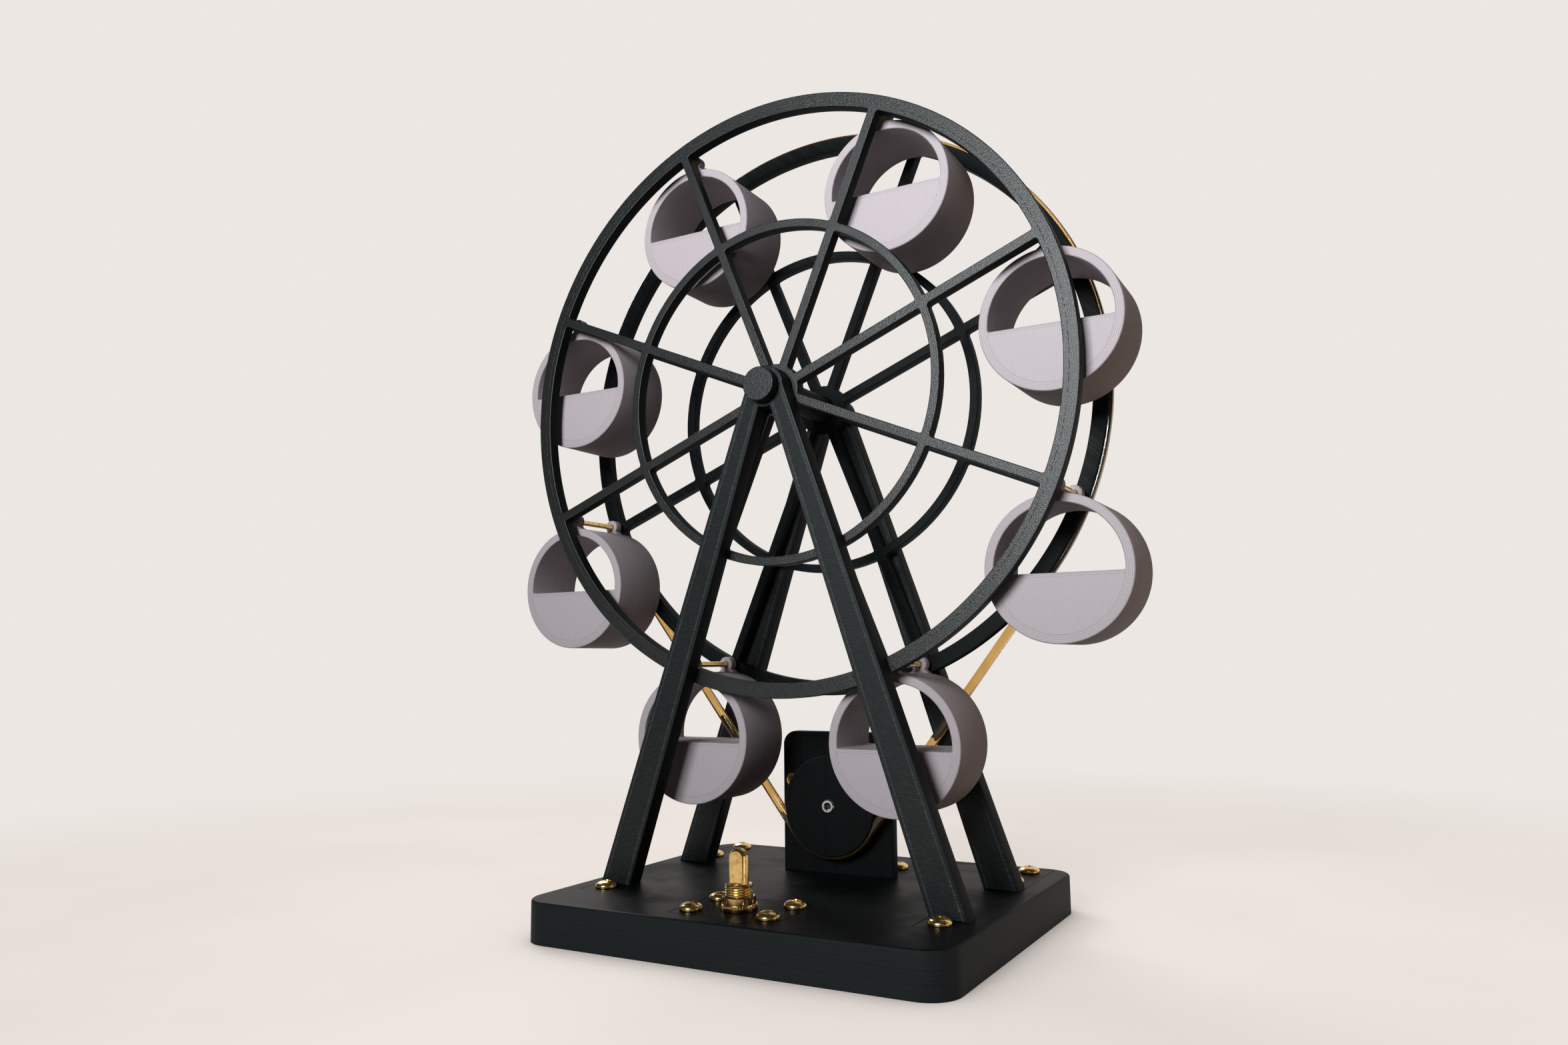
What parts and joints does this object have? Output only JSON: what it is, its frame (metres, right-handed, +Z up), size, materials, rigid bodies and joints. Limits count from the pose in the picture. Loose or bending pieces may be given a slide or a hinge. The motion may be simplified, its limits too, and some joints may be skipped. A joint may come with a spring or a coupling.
{
  "type": "motor-driven Ferris wheel sculpture",
  "caption": "Desk-top Ferris wheel on a flat base, with hanging round cabins, turned by a small gearmotor through a rubber band and set by a rotary control.",
  "frame": {"origin": "middle of the underside of the base, on the table", "axes": "+X to the right, +Y to the back, +Z up; the control is at the front"},
  "size_m": [0.2342, 0.128, 0.2881],
  "materials": {
    "charcoal_plastic": "printed layer lines, low sheen",
    "lilac_plastic": "printed layer lines, matte",
    "brass": "satin",
    "steel": "satin",
    "amber_rubber": "slightly clear",
    "cell_wrap": "shrink wrap",
    "circuit_board": "solder mask"
  },
  "bodies": {
    "stand": {"base_shell": "charcoal_plastic", "base_cover": "charcoal_plastic", "rear_strip": "charcoal_plastic", "control_plate": "charcoal_plastic", "front_frame": "charcoal_plastic", "rear_frame": "charcoal_plastic", "motor_bracket": "charcoal_plastic", "foot_screws": "brass", "strip_screws": "brass", "bracket_screws": "brass", "plate_screws": "brass", "motor_screws": "brass", "cover_screws": "brass", "control_bushing": "brass", "control_nut": "brass", "gearmotor": "steel", "control_body": "steel", "belt": "amber_rubber", "battery_pack": "cell_wrap", "driver_board": "circuit_board"},
    "wheel": {"front_wheel": "charcoal_plastic", "rear_wheel": "charcoal_plastic", "axle": "charcoal_plastic", "axle_clip": "charcoal_plastic", "rod_1": "brass", "rod_2": "brass", "rod_3": "brass", "rod_4": "brass", "rod_5": "brass", "rod_6": "brass", "rod_7": "brass", "rod_8": "brass"},
    "drive": {"pulley": "charcoal_plastic", "motor_shaft": "steel"},
    "control": {"control_shaft": "brass"},
    "cabin_1": {"cabin_1": "lilac_plastic"},
    "cabin_2": {"cabin_2": "lilac_plastic"},
    "cabin_3": {"cabin_3": "lilac_plastic"},
    "cabin_4": {"cabin_4": "lilac_plastic"},
    "cabin_5": {"cabin_5": "lilac_plastic"},
    "cabin_6": {"cabin_6": "lilac_plastic"},
    "cabin_7": {"cabin_7": "lilac_plastic"},
    "cabin_8": {"cabin_8": "lilac_plastic"}
  },
  "joints": [
    {"name": "wheel_spin", "type": "hinge", "parent": "stand", "child": "wheel", "pos_m": [0, -0.0024, 0.182], "axis": [0, 1, 0], "continuous": true},
    {"name": "cabin_1_swing", "type": "hinge", "parent": "wheel", "child": "cabin_1", "pos_m": [0.09411, -0.0024, 0.22002], "axis": [0, 1, 0], "continuous": true},
    {"name": "cabin_2_swing", "type": "hinge", "parent": "wheel", "child": "cabin_2", "pos_m": [0.03966, -0.0024, 0.27543], "axis": [0, 1, 0], "continuous": true},
    {"name": "cabin_3_swing", "type": "hinge", "parent": "wheel", "child": "cabin_3", "pos_m": [-0.03802, -0.0024, 0.27611], "axis": [0, 1, 0], "continuous": true},
    {"name": "cabin_4_swing", "type": "hinge", "parent": "wheel", "child": "cabin_4", "pos_m": [-0.09343, -0.0024, 0.22166], "axis": [0, 1, 0], "continuous": true},
    {"name": "cabin_5_swing", "type": "hinge", "parent": "wheel", "child": "cabin_5", "pos_m": [-0.09411, -0.0024, 0.14398], "axis": [0, 1, 0], "continuous": true},
    {"name": "cabin_6_swing", "type": "hinge", "parent": "wheel", "child": "cabin_6", "pos_m": [-0.03966, -0.0024, 0.08857], "axis": [0, 1, 0], "continuous": true},
    {"name": "cabin_7_swing", "type": "hinge", "parent": "wheel", "child": "cabin_7", "pos_m": [0.03802, -0.0024, 0.08789], "axis": [0, 1, 0], "continuous": true},
    {"name": "cabin_8_swing", "type": "hinge", "parent": "wheel", "child": "cabin_8", "pos_m": [0.09343, -0.0024, 0.14234], "axis": [0, 1, 0], "continuous": true},
    {"name": "pulley_spin", "type": "hinge", "parent": "stand", "child": "drive", "pos_m": [0, 0.01565, 0.038], "axis": [0, 1, 0], "continuous": true},
    {"name": "control_turn", "type": "hinge", "parent": "stand", "child": "control", "pos_m": [-0.0014, -0.045, 0.02], "axis": [0, 0, 1], "range_deg": [-150, 150]}
  ],
  "couplings": [
    {"joint": "cabin_1_swing", "follows": "wheel_spin", "ratio": -1},
    {"joint": "cabin_2_swing", "follows": "wheel_spin", "ratio": -1},
    {"joint": "cabin_3_swing", "follows": "wheel_spin", "ratio": -1},
    {"joint": "cabin_4_swing", "follows": "wheel_spin", "ratio": -1},
    {"joint": "cabin_5_swing", "follows": "wheel_spin", "ratio": -1},
    {"joint": "cabin_6_swing", "follows": "wheel_spin", "ratio": -1},
    {"joint": "cabin_7_swing", "follows": "wheel_spin", "ratio": -1},
    {"joint": "cabin_8_swing", "follows": "wheel_spin", "ratio": -1},
    {"joint": "pulley_spin", "follows": "wheel_spin", "ratio": 6.052}
  ]
}
